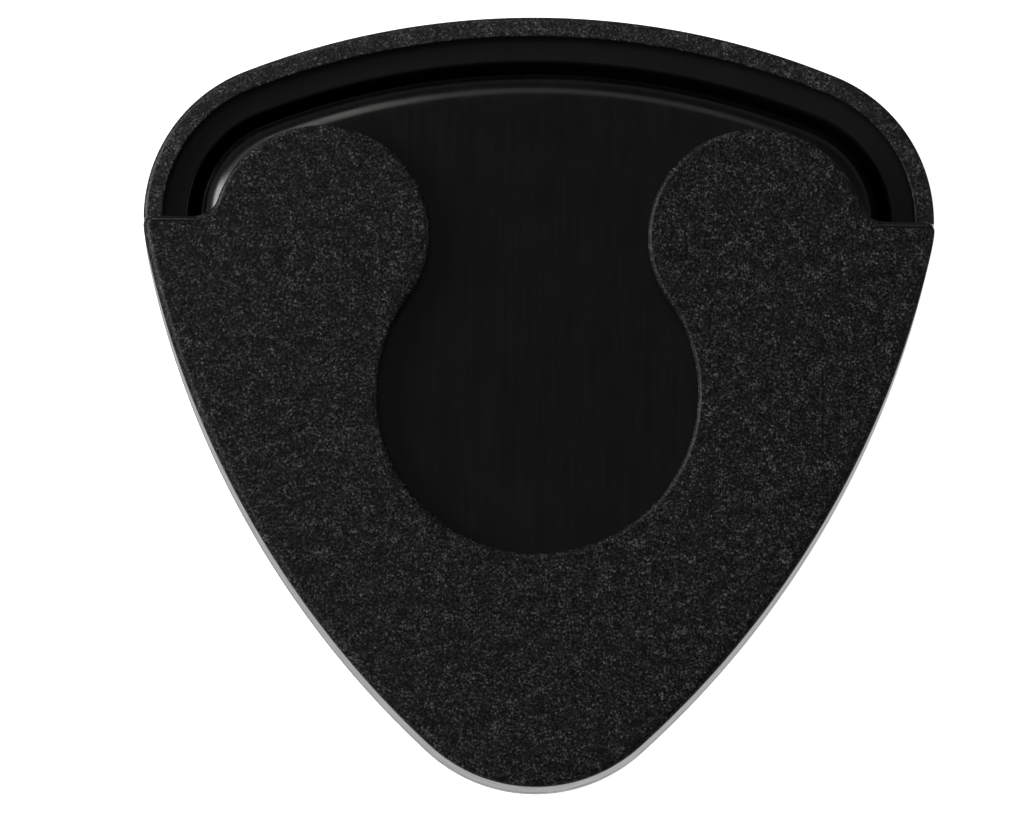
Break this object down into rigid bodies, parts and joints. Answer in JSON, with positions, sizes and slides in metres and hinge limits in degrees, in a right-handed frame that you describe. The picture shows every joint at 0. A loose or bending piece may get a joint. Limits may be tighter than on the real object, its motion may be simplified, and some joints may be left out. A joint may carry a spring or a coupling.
{
  "type": "pick holder",
  "caption": "Stick-on spring-loaded guitar pick holder: a rounded-triangle case with a sprung platform under a front cover whose keyhole window lets a thumb slide picks out over the rim.",
  "frame": {"origin": "centre of the back, on the release liner's outer face", "axes": "+X to the right seen from the front, +Y towards the wide end where the picks leave, +Z out of the front face"},
  "size_m": [0.036, 0.0352, 0.008],
  "materials": {
    "textured_plastic": "spark-eroded black ABS",
    "polished_plastic": "polished black ABS",
    "spring_steel": "bright drawn spring wire",
    "adhesive": "clear acrylic adhesive film",
    "foam": "white closed-cell foam",
    "liner": "siliconised paper"
  },
  "bodies": {
    "holder": {"rear_shell": "textured_plastic", "front_cover": "textured_plastic", "platform_spring": "spring_steel", "adhesive_film_inner": "adhesive", "foam_pad": "foam", "adhesive_film_outer": "adhesive", "release_liner": "liner"},
    "platform": {"pick_platform": "polished_plastic"}
  },
  "joints": [
    {"name": "platform_slide", "type": "slide", "parent": "holder", "child": "platform", "axis": [0, 0, 1], "range_m": [-0.00305, 0], "stiffness_N_per_m": 290, "springref_m": 0.0015, "deforming": ["platform_spring"]}
  ]
}
